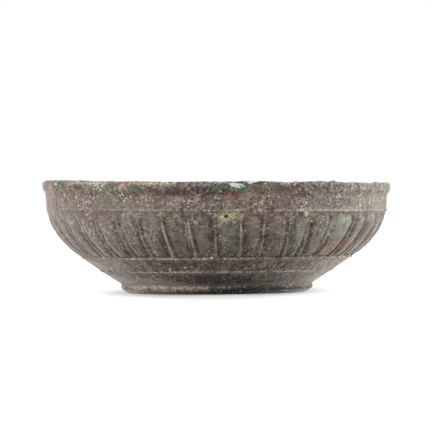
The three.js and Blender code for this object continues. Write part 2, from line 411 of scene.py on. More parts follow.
RUBBED_HIGHLIGHT_LINES = (
    RubbedHighlightLine((-18.6, 31.5), (-17.6, 16.0), 0.3, 0.85),
    RubbedHighlightLine((-19.4, 19.5), (-18.2, 16.2), 0.18, 0.7),
    RubbedHighlightLine((-9.7, 32.0), (-8.2, 16.2), 0.24, 0.85),
    RubbedHighlightLine((-10.7, 31.5), (-10.2, 20.0), 0.16, 0.65),
    RubbedHighlightLine((-0.5, 25.0), (-0.4, 16.0), 0.5, 0.6),
    RubbedHighlightLine((8.0, 31.0), (9.4, 16.6), 0.2, 0.6),
    RubbedHighlightLine((16.0, 29.0), (17.3, 16.4), 0.22, 0.65),
    RubbedHighlightLine((17.0, 20.6), (20.4, 16.4), 0.2, 0.5),
    RubbedHighlightLine((24.8, 27.0), (28.2, 16.4), 0.2, 0.6),
    RubbedHighlightLine((31.8, 29.5), (35.3, 16.6), 0.24, 0.55),
    RubbedHighlightLine((-46.8, 25.0), (-49.0, 16.4), 0.35, 0.7),
    RubbedHighlightLine((-25.8, 28.0), (-26.8, 16.8), 0.18, 0.65),
)


@dataclass(frozen=True)
class Patina:
    """The dry crust on the bronze: mottled brown and green-grey, with pale grains, scratches and stains,
    painted highlights on the ribs and fillets, and painted shade low on the wall and at the foot.
    """

    name: str
    warm: Colour = paint(118, 98, 91)
    cool: Colour = paint(112, 112, 99)
    dust: Colour = paint(150, 138, 120)
    dark: Colour = paint(80, 63, 64)
    deep: Colour = paint(62, 49, 49)
    pale: Colour = paint(138, 135, 122)
    # Pale for grains and wear, also used for the painted highlights on the ribs and fillets.
    worn: Colour = paint(190, 179, 164)
    pit: Colour = paint(36, 29, 28)
    grain_strength: float = 0.5
    metallic: float = 0.1
    specular: float = 0.15
    sheen: float = 0.8
    sheen_roughness: float = 0.3
    sheen_tint: Colour = (1.0, 0.9, 0.84)
    scratched_field: ColourPatch = ColourPatch(-8.0, 38.7, 11, 1.9, CREAM, 0.9, 0.3)
    stains: tuple[ColourPatch, ...] = STAINS
    # Patches of painted shade and grime, laid over the grain.
    shade_and_grime: tuple[ColourPatch, ...] = PAINTED_SHADE_AND_GRIME
    rubbed_highlight_lines: tuple[RubbedHighlightLine, ...] = RUBBED_HIGHLIGHT_LINES
    millimetres_per_degree: float = 1.13
    wrapped_reach: float = 58.0
    wrapped_share: float = 0.6
    swept_scale: tuple[float, float, float] = (0.22, 0.9, 1.3)

    def material(self) -> bpy.types.Material:
        """Build the finish.

        Returns:
            The material.
        """
        material, sheet = new_material(self.name)
        place = self._millimetres(sheet)
        outside = sheet.add("ShaderNodeAttribute", {"attribute_name": "outside"}, {}, "Fac")
        azimuth, height, swept, place = self._round_the_bowl(sheet, place)
        grain = sheet.cloud(place, 0.85, 3, 0.8)
        colour = self._ground(sheet, place, swept)
        colour = self._grooves_and_ribs(sheet, place, colour)
        inner = self._inside(sheet, place, swept, colour)
        torn = sheet.cloud(place, 0.75, 4, 0.8) - 0.5
        where = sheet.add("ShaderNodeCombineXYZ", {}, {"X": azimuth, "Y": height})
        colour = self._patched(sheet, where, torn, self.stains, colour)
        # Painted highlights along the front ribs' crests, also wear.
        colour = self._rubbed_highlights(sheet, azimuth, height, torn, colour)
        colour = sheet.blend(outside, inner, colour)
        colour = self._grained(sheet, place, height, outside, grain, colour)
        colour = self._scratched(sheet, place, where, colour)
        # Painted shade and grime, over the grain, on the outside only.
        shaded_and_grimy = self._patched(sheet, where, torn, self.shade_and_grime, colour)
        colour = sheet.blend(outside, colour, shaded_and_grimy)
        colour = self._specked(sheet, place, height, outside, colour)
        roughness = 0.42 + 0.4 * sheet.cloud(place, 0.5, 2)
        relief = grain * 0.6 + sheet.cloud(place, 0.45, 3, 0.6) + 0.15 * sheet.cloud(swept, 0.8, 2)
        bump = sheet.add("ShaderNodeBump", {}, {"Strength": 0.9, "Distance": 0.5 * MM, "Height": relief})
        inputs = {
            "Base Color": colour,
            "Roughness": roughness,
            "Normal": bump,
            "Metallic": self.metallic,
            "Specular IOR Level": self.specular,
            "Sheen Weight": self.sheen,
            "Sheen Roughness": self.sheen_roughness,
            "Sheen Tint": (*self.sheen_tint, 1.0),
        }
        metal = sheet.add(Shader.PRINCIPLED.value, {}, inputs)
        sheet.add("ShaderNodeOutputMaterial", {}, {"Surface": metal})
        return material

    def _millimetres(self, sheet: NodeSheet) -> Value:
        """Give the place on the piece in millimetres."""
        place = sheet.add("ShaderNodeTexCoord", {}, {}, "Object")
        return sheet.vector_maths("MULTIPLY", place, (1 / MM, 1 / MM, 1 / MM))

    def _round_the_bowl(self, sheet: NodeSheet, place: Value) -> tuple[Value, Value, Value, Value]:
        """Work out the place round the bowl.

        Args:
            sheet: The node sheet.
            place: The place in millimetres.

        Returns:
            The azimuth in degrees, the height, coordinates that stretch a pattern along the turning, and
            coordinates that wrap one round the wall, so that its slope doesn't squash the grain.
        """
        split = sheet.add("ShaderNodeSeparateXYZ", {}, {"Vector": place})
        x, y, z = (Value(sheet, split.socket.node.outputs[axis]) for axis in "XYZ")
        azimuth = sheet.maths("ARCTAN2", x, -1.0 * y) * (180 / math.pi)
        reach = sheet.maths("SQRT", x * x + y * y)
        round_scale, reach_scale, height_scale = self.swept_scale
        inputs = {"X": azimuth * round_scale, "Y": reach * reach_scale, "Z": z * height_scale}
        swept = sheet.add("ShaderNodeCombineXYZ", {}, inputs)
        sloped = sheet.add("ShaderNodeAttribute", {"attribute_name": "sloped"}, {}, "Fac")
        pull = 1.0 + (self.wrapped_reach / reach - 1.0) * (self.wrapped_share * sloped)
        pull = sheet.add("ShaderNodeCombineXYZ", {}, {"X": pull, "Y": pull, "Z": 1.0})
        return azimuth, z, swept, sheet.vector_maths("MULTIPLY", place, pull)

    def _ground(self, sheet: NodeSheet, place: Value, swept: Value) -> Value:
        """Mottle the ground colour.

        Args:
            sheet: The node sheet.
            place: The place in millimetres.
            swept: The stretched coordinates.

        Returns:
            The ground colour.
        """
        drift = sheet.cloud(place, 0.06, 4, 0.65).rise(0.42, 0.58)
        blotch = sheet.cloud(place, 0.13, 4, 0.7).rise(0.48, 0.62)
        dusty = sheet.cloud(place, 0.17, 5, 0.75).rise(0.5, 0.66)
        mottle = sheet.cloud(place, 0.3, 4, 0.75)
        turned = sheet.cloud(swept, 0.35, 3, 0.6).rise(0.5, 0.7)
        colour = sheet.blend(drift, self.warm, self.cool)
        colour = sheet.blend(dusty * 0.55, colour, self.dust)
        colour = sheet.blend(blotch * 0.58, colour, self.dark)
        colour = sheet.blend(mottle.rise(0.52, 0.68) * 0.4, colour, self.worn)
        colour = sheet.blend(mottle.rise(0.48, 0.32) * 0.5, colour, self.deep)
        return sheet.blend(turned * 0.25, colour, self.dark)

    def _grooves_and_ribs(self, sheet: NodeSheet, place: Value, colour: Value) -> Value:
        """Darken the valleys and the painted shade under the fillets and round the foot's base, and pale
        the ribs and fillets: wear with painted highlights.

        Args:
            sheet: The node sheet.
            place: The place in millimetres.
            colour: The colour below.

        Returns:
            The colour with the worked forms picked out.
        """
        groove_and_shade, edge, crown = (
            sheet.add("ShaderNodeAttribute", {"attribute_name": name}, {}, "Fac")
            for name in ("groove_and_shade", "edge", "crown")
        )
        broken = sheet.cloud(place, 0.3, 4, 0.7)
        colour = sheet.blend(crown * broken.rise(0.36, 0.6) * 0.55, colour, self.pale)
        # Darker in the valleys, and painted shade under the fillets and round the foot's base.
        colour = sheet.blend(groove_and_shade * broken.rise(0.75, 0.3), colour, self.deep)
        # Rib and fillet crests paled: wear, with painted highlights.
        rubbed_and_highlit = edge * (0.2 + 0.8 * broken.rise(0.38, 0.6))
        return sheet.blend(rubbed_and_highlit * 0.8, colour, self.worn)

    def _stain_mask(self, sheet: NodeSheet, where: Value, torn: Value, stain: ColourPatch) -> Value:
        """Give how far one patch, a stain or painted shade, covers, 0 to 1, torn at its edge.

        Args:
            sheet: The node sheet.
            where: The azimuth and height as a vector.
            torn: The noise that tears the edges, about 0.
            stain: The patch, a stain or painted shade.

        Returns:
            The cover.
        """
        scale = (1 / stain.half_width, 1 / stain.half_height, 0)
        shift = (-stain.azimuth * scale[0], -stain.height * scale[1], 0)
        local = sheet.vector_maths("MULTIPLY_ADD", where, scale, shift)
        away = sheet.add("ShaderNodeVectorMath", {"operation": "LENGTH"}, {0: local}, "Value")
        away = sheet.maths("MULTIPLY_ADD", torn, stain.ragged * 4, away)
        fade = {"Value": away, "From Min": 1.3, "From Max": 0.6, "To Max": stain.cover}
        return sheet.add("ShaderNodeMapRange", {"interpolation_type": "SMOOTHSTEP"}, fade)

    def _patched(
        self, sheet: NodeSheet, where: Value, torn: Value, stains: Sequence[ColourPatch], colour: Value
    ) -> Value:
        """Lay patches over a colour, in order: stains, or painted shade and grime.

        Args:
            sheet: The node sheet.
            where: The azimuth and height as a vector.
            torn: The noise that tears the edges, about 0.
            stains: The patches, stains or painted shade and grime.
            colour: The colour below.

        Returns:
            The stained colour.
        """
        for stain in stains:
            mask = self._stain_mask(sheet, where, torn, stain)
            colour = sheet.blend(mask, colour, stain.colour)
        return colour

    def _rubbed_highlights(
        self, sheet: NodeSheet, azimuth: Value, height: Value, torn: Value, colour: Value
    ) -> Value:
        """Paint the crests of the front ribs pale, in thin broken lines: wear with painted highlights.

        Args:
            sheet: The node sheet.
            azimuth: Degrees round from the front.
            height: Millimetres above the resting face.
            torn: The noise that breaks the lines, about 0.
            colour: The colour below.

        Returns:
            The colour with its pale, highlighted lines.
        """
        wander = torn * 0.35
        broken = torn.rise(0.12, -0.06)
        for line in self.rubbed_highlight_lines:
            slope = (line.top[0] - line.foot[0]) / (line.top[1] - line.foot[1])
            middle = sheet.maths("MULTIPLY_ADD", height, slope, line.foot[0] - slope * line.foot[1])
            across = ((azimuth - middle) * self.millimetres_per_degree + wander).size()
            line_mask = across.rise(line.half_width + 0.22, line.half_width - 0.12)
            ends = height.rise(line.foot[1] - 0.3, line.foot[1] + 0.4)
            ends = ends * height.rise(line.top[1] + 0.5, line.top[1] - 2.5)
            mask = line_mask * ends * (broken * line.cover)
            colour = sheet.blend(mask, colour, self.worn)
        return colour

    def _inside(self, sheet: NodeSheet, place: Value, swept: Value, colour: Value) -> Value:
        """Lay the film of the hollow over the ground: green patches, pale tide marks and turned lines.

        Args:
            sheet: The node sheet.
            place: The place in millimetres.
            swept: Coordinates that stretch a pattern along the turning.
            colour: The ground colour.

        Returns:
            The colour of the hollow.
        """
        green = sheet.cloud(place, 0.045, 5, 0.7).rise(0.52, 0.6)
        film = sheet.cloud(place, 0.03, 4, 0.65).rise(0.5, 0.58)
        tide = (sheet.cloud(place, 0.028, 3, 0.5) - 0.53).size().rise(0.012, 0.0)
        lines = sheet.cloud(swept, 0.8, 3, 0.7).rise(0.52, 0.66)
        colour = sheet.blend(0.35, colour, self.dark)
        colour = sheet.blend(film * 0.4, colour, self.dust)
        colour = sheet.blend(green * 0.5, colour, DARK_GREEN)
        colour = sheet.blend(tide * 0.5, colour, PALE_GREEN)
        return sheet.blend(lines * 0.3, colour, self.worn)

    def _grained(
        self, sheet: NodeSheet, place: Value, height: Value, outside: Value, grain: Value, colour: Value
    ) -> Value:
        """Break the colour up with fine grain, pale grains and dark pits, coarser on the lower wall.

        Args:
            sheet: The node sheet.
            place: The place in millimetres.
            height: Millimetres above the resting face.
            outside: 1 on the outside and 0 in the hollow.
            grain: The fine noise that also drives the relief.
            colour: The colour below.

        Returns:
            The grained colour.
        """
        patchy = sheet.cloud(place, 0.1, 2).rise(0.38, 0.6) * 0.9 + 0.4
        patchy = patchy * (0.45 + 0.55 * outside) + 1.1 * outside * height.rise(17, 13)
        light = (grain - 0.5).rise(0.0, 0.17) * (self.grain_strength * patchy)
        dark = (0.5 - grain).rise(0.0, 0.17) * (self.grain_strength * 1.1 * patchy)
        colour = sheet.blend(light, colour, self.worn)
        return sheet.blend(dark, colour, self.pit)

    def _specked(
        self, sheet: NodeSheet, place: Value, height: Value, outside: Value, colour: Value
    ) -> Value:
        """Scatter pale and dark specks and flecks over the outside, thicker on the lower wall.

        Args:
            sheet: The node sheet.
            place: The place in millimetres.
            height: Millimetres above the resting face.
            outside: 1 on the outside and 0 in the hollow.
            colour: The colour below.

        Returns:
            The specked colour.
        """
        speck = sheet.cells(place, 1.15)
        where_pale = sheet.cloud(place, 0.4, 2)
        lower = height.rise(18, 14)
        pale = speck.rise(0.34, 0.16) * where_pale.rise(0.5, 0.56) * (0.4 + 0.3 * lower)
        colour = sheet.blend(pale * outside, colour, self.worn)
        pitted = speck.rise(0.4, 0.18) * where_pale.rise(0.46, 0.4) * (0.55 + 0.2 * lower)
        colour = sheet.blend(pitted * outside, colour, self.pit)
        coarse = sheet.cells(place, 0.62)
        blotch = sheet.cloud(place, 0.28, 3, 0.6)
        dark_blotch = blotch.rise(0.5, 0.6) * lower * outside
        colour = sheet.blend(dark_blotch * 0.55, colour, self.deep)
        light_blotch = coarse.rise(0.36, 0.16) * blotch.rise(0.5, 0.42) * lower * outside
        colour = sheet.blend(light_blotch * 0.6, colour, self.worn)
        fleck = sheet.cells(place, 0.75).rise(0.3, 0.14)
        sparse = sheet.cloud(place, 0.2, 3).rise(0.52, 0.62)
        return sheet.blend(fleck * sparse * 0.8, colour, LIME_WHITE)

    def _scratched(self, sheet: NodeSheet, place: Value, where: Value, colour: Value) -> Value:
        """Draw short curling pale marks, faint in patches and strong in the front of the band.

        Args:
            sheet: The node sheet.
            place: The place in millimetres.
            where: The azimuth and height as a vector.
            colour: The colour below.

        Returns:
            The scratched colour.
        """
        curls = (sheet.cloud(place, 0.45, 2, 0.5) - 0.5).size().rise(0.03, 0.01)
        torn = sheet.cloud(place, 0.7, 2)
        patch = sheet.cloud(place, 0.06, 3).rise(0.5, 0.6) * 0.3
        strong = self._stain_mask(sheet, where, torn - 0.5, self.scratched_field)
        marks = curls * torn.rise(0.44, 0.54) * sheet.maths("MAXIMUM", patch, strong)
        return sheet.blend(marks, colour, CREAM)


@dataclass(frozen=True)
class Crust:
    """A mineral crust: one colour broken by its own grain."""

    name: str
    colour: Colour
    shadow: Colour
    roughness: float = 0.7

    def material(self) -> bpy.types.Material:
        """Build the finish.

        Returns:
            The material.
        """
        material, sheet = new_material(self.name)
        place = sheet.add("ShaderNodeTexCoord", {}, {}, "Object")
        place = sheet.vector_maths("MULTIPLY", place, (1 / MM, 1 / MM, 1 / MM))
        grain = sheet.cloud(place, 1.4, 3, 0.7)
        colour = sheet.blend(grain.rise(0.62, 0.38), self.colour, self.shadow)
        bump = sheet.add("ShaderNodeBump", {}, {"Strength": 0.6, "Distance": 0.2 * MM, "Height": grain})
        inputs = {"Base Color": colour, "Roughness": self.roughness, "Normal": bump}
        chalk = sheet.add(Shader.PRINCIPLED.value, {}, inputs)
        sheet.add("ShaderNodeOutputMaterial", {}, {"Surface": chalk})
        return material


def work_on(piece: bpy.types.Object) -> None:
    """Select one piece alone and make it active.

    Args:
        piece: The piece to work on.
    """
    if bpy.context.object and bpy.context.object.mode != "OBJECT":
        bpy.ops.object.mode_set(mode="OBJECT")
    bpy.ops.object.select_all(action="DESELECT")
    piece.select_set(True)
    bpy.context.view_layer.objects.active = piece


def turned_on_the_lathe(
    name: str, section: Sequence[Point], sectors: int, steps: int, closed: bool
) -> bpy.types.Object:
    """Draw a section point by point by extrusion, spin it through one sector and copy that all round.

    Args:
        name: The piece's name.
        section: Radius and height of each point, in millimetres.
        sectors: How many equal sectors the turn has.
        steps: How many columns a sector has.
        closed: Whether the section's last point joins its first.

    Returns:
        The turned piece.
    """
    bpy.ops.object.select_all(action="DESELECT")
    start = Vector((section[0][0], 0, section[0][1])) * MM
    bpy.ops.mesh.primitive_plane_add(size=MM, location=(0, 0, 0))
    piece = bpy.context.object
    piece.name = name
    bpy.ops.object.mode_set(mode="EDIT")
    bpy.ops.mesh.merge(type="CENTER")
    bpy.ops.transform.translate(value=start)
    loop = [*section[1:], section[0]] if closed else section[1:]
    place = start
    for radius, height in loop:
        target = Vector((radius, 0, height)) * MM
        bpy.ops.mesh.extrude_region_move(TRANSFORM_OT_translate={"value": target - place})
        place = target
    bpy.ops.mesh.select_all(action="SELECT")
    bpy.ops.mesh.remove_doubles(threshold=1e-7)
    axis = {"center": (0, 0, 0), "axis": (0, 0, 1)}
    bpy.ops.mesh.spin(steps=steps, angle=FULL_TURN / sectors, **axis)
    bpy.ops.mesh.select_all(action="SELECT")
    bpy.ops.mesh.spin(steps=sectors, angle=FULL_TURN, dupli=True, **axis)
    bpy.ops.mesh.select_all(action="SELECT")
    bpy.ops.mesh.remove_doubles(threshold=1e-6)
    bpy.ops.mesh.normals_make_consistent(inside=False)
    bpy.ops.object.mode_set(mode="OBJECT")
    return piece


def points_of(piece: bpy.types.Object) -> np.ndarray:
    """Read a piece's vertices, in millimetres."""
    places = np.empty(len(piece.data.vertices) * 3)
    piece.data.vertices.foreach_get("co", places)
    return places.reshape(-1, 3) / MM


def put_points(piece: bpy.types.Object, places: np.ndarray) -> None:
    """Write a piece's vertices, given in millimetres."""
    piece.data.vertices.foreach_set("co", (places * MM).ravel())
    piece.data.update()


def put_attribute(piece: bpy.types.Object, name: str, values: np.ndarray) -> None:
    """Keep one number a vertex, for the finish to read.

    Args:
        piece: The piece.
        name: The attribute's name.
        values: One number for each vertex.
    """
    attribute = piece.data.attributes.new(name, "FLOAT", "POINT")
    attribute.data.foreach_set("value", values.astype(np.float32))


def corrode(piece: bpy.types.Object, name: str, fineness: float, depth: float, group: str = "") -> None:
    """Push a surface in and out with a cloud pattern, by a Displace modifier that is then applied.

    Args:
        piece: The piece.
        name: The pattern's name.
        fineness: The size of its features, in millimetres.
        depth: How far it moves the surface, in millimetres.
        group: The vertex group that limits it, if any.
    """
    work_on(piece)
    pattern = bpy.data.textures.new(name, "CLOUDS")
    pattern.noise_scale = fineness * MM
    pattern.noise_depth = 3
    modifier = piece.modifiers.new(name, "DISPLACE")
    modifier.texture = pattern
    modifier.texture_coords = "LOCAL"
    modifier.strength = depth * MM
    modifier.mid_level = 0.5
    modifier.vertex_group = group
    bpy.ops.object.modifier_apply(modifier=name)


def dress(piece: bpy.types.Object, material: bpy.types.Material) -> None:
    """Give a piece its finish and its place on the body.

    Args:
        piece: The piece.
        material: Its finish.
    """
    piece.data.materials.clear()
    piece.data.materials.append(material)
    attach(piece, BODY)


@dataclass(frozen=True)
class Fillet:
    """A raised half-round line round the wall, in millimetres."""

    radius: float
    height: float
    half: float
    proud: float
    rows: int = 6
    fullness: float = 0.8

    def points(self, along: Vector) -> list[Point]:
        """Draw the fillet's section.

        Args:
            along: The wall's direction there, upwards.

        Returns:
            Radius and height of its points, from its foot to its top.
        """
        along = along.normalized()
        out = Vector((along.y, -along.x))
        middle = Vector((self.radius, self.height))
        drawn = []
        for step in range(self.rows + 1):
            turn = math.pi * step / self.rows
            foot = middle - along * (self.half * math.cos(turn))
            point = foot + out * (self.proud * math.sin(turn) ** self.fullness)
            drawn.append((point.x, point.y))
        return drawn


@dataclass(frozen=True)
class Rib:
    """One thin rib between two tongues, in millimetres and degrees."""

    number: int
    shift: float = 0.0
    slant: float = 0.0
    top: float = 1.0
    foot_half: float = 0.55
    bright: float = 0.6
    twin: float = 0.0
    forked: bool = False


@dataclass
class BowlBody:
    """The cast vessel: floor, wall, tongues, fillets and lip, in one piece of bronze."""

    height: float = 48.0
    lip_radius: float = 75.0
    band_radius: float = 73.4
    seat_height: float = 3.7
    seat_radius: float = 41.2
    floor_thickness: float = 1.9
    wall: float = 1.7
    lip_depth: float = 5.0
    lip_inner_radius: float = 72.0
    lean_degrees: float = 0.9
    wear: float = 0.4
    left_rounding: float = 1.3
    clearance: float = 0.02
    waves: tuple[tuple[int, float, float], ...] = ((3, 0.2, 1.0), (8, 0.15, 0.0), (17, 0.1, 2.0))
    tongues: int = 40
    columns_per_tongue: int = 18
    frieze_rows: int = 38
    upper: Fillet = Fillet(73.2, 35.6, 0.5, 0.22)
    middle: Fillet = Fillet(57.9, 15.1, 0.34, 0.3)
    lower: Fillet = Fillet(49.9, 9.5, 0.32, 0.3)
    curve: tuple[Point, ...] = ((73.05, 35.4), (71.1, 25.2), (62.3, 18.0), (57.8, 15.1))
    upper_wear: float = 0.16
    arch_start: float = 1.3
    arch_height: float = 3.4
    soft_arch: float = 0.22
    crisp_arch: float = 0.6
    soft_side: float = 0.6
    front_ribs: tuple[Rib, ...] = (
        Rib(-4, 0.4, 0.0, 0.4, 0.5, 0.2),
        Rib(-3, -0.3, 0.2, 0.3, 0.5, 0.4),
        Rib(-2, -0.6, 1.0, 0.9, 0.6, 0.6),
        Rib(-1, -0.7, 1.5, 1.0, 0.5, 0.6, -1.2),
        Rib(0, -0.5, 0.2, 0.45, 1.0, 0.5),
        Rib(1, -1.0, 1.4, 0.8, 0.7, 0.4),
        Rib(2, -2.0, 1.3, 0.8, 0.5, 0.4, 0.0, True),
        Rib(3, -2.2, 3.4, 0.7, 0.5, 0.4, 1.3),
        Rib(4, -4.0, 3.3, 0.7, 0.6, 0.4),
        Rib(5, -2.0, -1.5, 0.6, 0.5, 0.4, 1.2),
    )
    rows: list[Point] = field(default_factory=list)
    seat_row: int = 0
    frieze_first: int = 0
    frieze_last: int = 0
    lip_first: int = 0
    inside_first: int = 0

    def build(self) -> bpy.types.Object:
        """Turn the bowl, chase its tongues, lean and wear it, and corrode its surface.

        Returns:
            The finished mesh.
        """
        self._draw_section()
        piece = turned_on_the_lathe("bronze_bowl", self.rows, self.tongues, self.columns_per_tongue, False)
        row = self._rows_of(points_of(piece))
        self._chase(piece, row)
        self._settle(piece)
        self._corrode_all(piece, row)
        work_on(piece)
        bpy.ops.object.shade_smooth()
        return piece

    def curve_points(self, count: int) -> tuple[np.ndarray, np.ndarray]:
        """Place points evenly down the frieze's curve.

        Args:
            count: How many steps the curve has.

        Returns:
            The points, and the distance of each below the upper fillet.
        """
        t = np.linspace(0, 1, 400)[:, None]
        a, b, c, d = (np.array(point) for point in self.curve)
        fine = a * (1 - t) ** 3 + 3 * b * (1 - t) ** 2 * t + 3 * c * (1 - t) * t**2 + d * t**3
        steps = np.hypot(*np.diff(fine, axis=0).T)
        distance = np.concatenate([[0], np.cumsum(steps)])
        wanted = np.linspace(0, distance[-1], count + 1)
        points = np.stack([np.interp(wanted, distance, fine[:, i]) for i in range(2)], axis=1)
        return points, wanted

    def _draw_section(self) -> None:
        """Draw the section, from the axis underneath, up the outside, over the lip and back inside."""
        seat, floor = self.seat_height, self.seat_height + self.floor_thickness
        under = [(0, seat + 0.5), (1.2, seat), (8, seat), (15, seat), (21.4, seat), (22, seat + 0.35)]
        under += [(22.6, seat), (28, seat), (34, seat), (38, seat), (41, seat)]
        under += [(self.seat_radius, seat + 0.2)]
        self.seat_row = len(under) - 1
        seat_edge = Vector((self.seat_radius, seat))
        low = Vector((self.lower.radius, self.lower.height))
        mid = Vector((self.middle.radius, self.middle.height))
        lower = self.lower.points(mid - seat_edge)
        middle = self.middle.points(mid - low)
        self.rows = under + self._between((self.seat_radius, seat + 0.2), lower[0], 7) + lower
        self.rows += self._between(lower[-1], middle[0], 7) + middle
        frieze, _ = self.curve_points(self.frieze_rows)
        self.frieze_first = len(self.rows)
        self.rows += [tuple(point) for point in frieze[-3:0:-1]]
        upper = self.upper.points(Vector((0, 1)))
        self.frieze_last = len(self.rows)
        self.rows += upper
        self.lip_first = len(self.rows) + 6
        self.rows += self._between(upper[-1], (self.band_radius, 40.6), 7) + [(self.band_radius, 40.6)]
        self.rows += [(73.45, 41.6), (73.6, 42.4), (73.95, 43.0), (74.4, 43.6), (74.62, 44.4)]
        self.rows += [(74.75, 45.2), (74.85, 46.0), (74.95, 46.6), (75.0, 47.1), (74.85, 47.5)]
        self.rows += [(74.5, 47.85), (74.0, 48.0)]
        self.inside_first = len(self.rows)
        self.rows += [(73.4, 48.0), (73.0, 47.95), (72.4, 47.6), (72.05, 47.0), (71.85, 45.6), (71.4, 43.0)]
        self.rows += [(71.35, 40.0), (71.3, 37.0)]
        wall, _ = self.curve_points(16)
        slope = np.gradient(wall, axis=0)
        normal = np.stack([-slope[:, 1], slope[:, 0]], axis=1)
        normal /= np.hypot(*normal.T)[:, None]
        self.rows += [tuple(point) for point in wall - normal * self.wall]
        self.rows += [(50.0, 11.0), (46.4, 8.7), (43.8, 7.4), (41.6, 6.2), (39.2, 5.75), (36.7, floor)]
        self.rows += [(30, floor), (23, floor), (15.6, floor), (15, floor - 0.35), (14.4, floor)]
        self.rows += [(8, floor), (1.2, floor), (0, floor - 0.5)]

    def _between(self, start: Point, end: Point, steps: int) -> list[Point]:
        """Place points on the straight line between two others, without either of them."""
        (r0, z0), (r1, z1) = start, end
        shares = [step / steps for step in range(1, steps)]
        return [(r0 + (r1 - r0) * share, z0 + (z1 - z0) * share) for share in shares]

    def _rows_of(self, places: np.ndarray) -> np.ndarray:
        """Find which row of the section each vertex was spun from.

        Args:
            places: The vertices of the turned bowl.

        Returns:
            The row's number for each vertex.
        """
        reach, height = np.hypot(places[:, 0], places[:, 1]), places[:, 2]
        section = np.array(self.rows)
        row = np.zeros(len(places), int)
        nearest = np.full(len(places), np.inf)
        for number, (radius, level) in enumerate(section):
            away = np.hypot(reach - radius, height - level)
            closer = away < nearest
            row[closer], nearest[closer] = number, away[closer]
        return row

    def _ribs(self) -> list[Rib]:
        """List every rib by number: the ones that the photograph shows, and seeded ones for the rest."""
        known = {rib.number % self.tongues: rib for rib in self.front_ribs}
        chance = np.random.default_rng(11)
        ribs = []
        for number in range(self.tongues):
            low, high = (-0.4, -0.6, 0.35, 0.4, 0.15), (0.4, 0.6, 1.0, 0.9, 0.7)
            shift, slant, top, foot, bright = chance.uniform(low, high)
            seeded = Rib(number, shift, slant, top, foot, bright, 1.6 if chance.random() < 0.15 else 0.0)
            ribs.append(known.get(number, seeded))
        return ribs

    def _chase(self, piece: bpy.types.Object, row: np.ndarray) -> None:
        """Cut the tongues into the frieze and write the attributes that the finish reads.

        Args:
            piece: The turned bowl.
            row: The section row of each vertex.
        """
        places = points_of(piece)
        section = np.array(self.rows)
        slope = np.gradient(section, axis=0)
        normal = np.stack([slope[:, 1], -slope[:, 0]], axis=1)
        normal /= np.hypot(*normal.T)[:, None]
        spacing = FULL_TURN / self.tongues
        azimuth = np.arctan2(places[:, 0], -places[:, 1])
        number = np.round(azimuth / spacing)
        share = (azimuth - number * spacing) / (spacing / 2)
        share = np.sign(share) * np.abs(share) ** 1.5
        azimuth = (number + share / 2) * spacing
        ribs = self._ribs()
        index = number.astype(int) % self.tongues
        look_up = {name: np.array([getattr(rib, name) for rib in ribs])[index]
                   for name in ("shift", "slant", "top", "foot_half", "bright", "twin", "forked")}
        in_frieze = (row >= self.frieze_first) & (row < self.frieze_last)
        points, distance = self.curve_points(self.frieze_rows)
        length = distance[-1]
        level = section[row, 1]
        below = np.interp(level, points[::-1, 1], distance[::-1])
        half_spacing = section[row, 0] * spacing / 2
        strayed = look_up["shift"] + look_up["slant"] * np.clip(below / length, 0, 1)
        across = np.degrees(azimuth - number * spacing) - strayed
        across = np.radians(across) * section[row, 0]
        turn = np.degrees(azimuth)
        right = smooth(turn, 15, 45) * (1 - smooth(turn, 150, 175))
        arch_depth = self.soft_arch + (self.crisp_arch - self.soft_arch) * right
        side_depth = self.soft_side + (1 - self.soft_side) * smooth(turn, -60, -25)
        shallow = side_depth * (arch_depth + (1 - arch_depth) * smooth(below, 2.0, 6.5))
        relief, groove_and_shade, edge, crown = self._relief(
            np.abs(across), across, below, length, half_spacing, look_up, shallow
        )
        fade = smooth(below, 0.1, 0.7) * smooth(length - below, 0.2, 0.9)
        relief = np.where(in_frieze, relief * fade, 0)
        groove_and_shade = np.where(in_frieze, groove_and_shade * fade, 0)
        edge = np.where(in_frieze, edge * fade, 0)
        put_attribute(piece, "crown", np.where(in_frieze, crown * fade, 0))
        # Fillet crests: wear with painted highlights, stronger towards the right and faint on the far left.
        bright = 0.3 + 0.45 * smooth(turn, -60, 30)
        shown = 1 - 0.85 * smooth(turn, -42, -58) * smooth(turn, -120, -95)
        shades = (
            (self.upper, bright, 0.25 * right, 0.32),
            (self.middle, shown, 0.3, 0.22),
            (self.lower, shown, 0.35, 0.22),
        )
        for fillet, strength, shade, reach in shades:
            near = 1 - smooth(np.abs(level - fillet.height - 0.1), 0.06, reach)
            edge = np.maximum(edge, near * strength * (row < self.inside_first))
            # Painted shade in a band just under each fillet, darkened like the valleys.
            foot = smooth(fillet.height - level, 0.3, 0.5) * (1 - smooth(fillet.height - level, 0.6, 1.0))
            groove_and_shade = np.maximum(groove_and_shade, shade * foot * (row < self.inside_first))
        worn = self.upper_wear * (1 - smooth(turn, -10, 25) * smooth(turn, 175, 120))
        on_upper = (1 - smooth(np.abs(level - self.upper.height), 0.5, 0.72)) * (row < self.inside_first)
        relief -= worn * on_upper
        reach = section[row, 0] + normal[row, 0] * relief
        places[:, 0] = reach * np.sin(azimuth)
        places[:, 1] = -reach * np.cos(azimuth)
        places[:, 2] = level + normal[row, 1] * relief
        put_points(piece, places)
        put_attribute(piece, "groove_and_shade", groove_and_shade)
        put_attribute(piece, "edge", edge)
        put_attribute(piece, "outside", (row < self.inside_first + 2).astype(float))
        put_attribute(piece, "sloped", ((row > self.seat_row) & (row < self.inside_first)).astype(float))

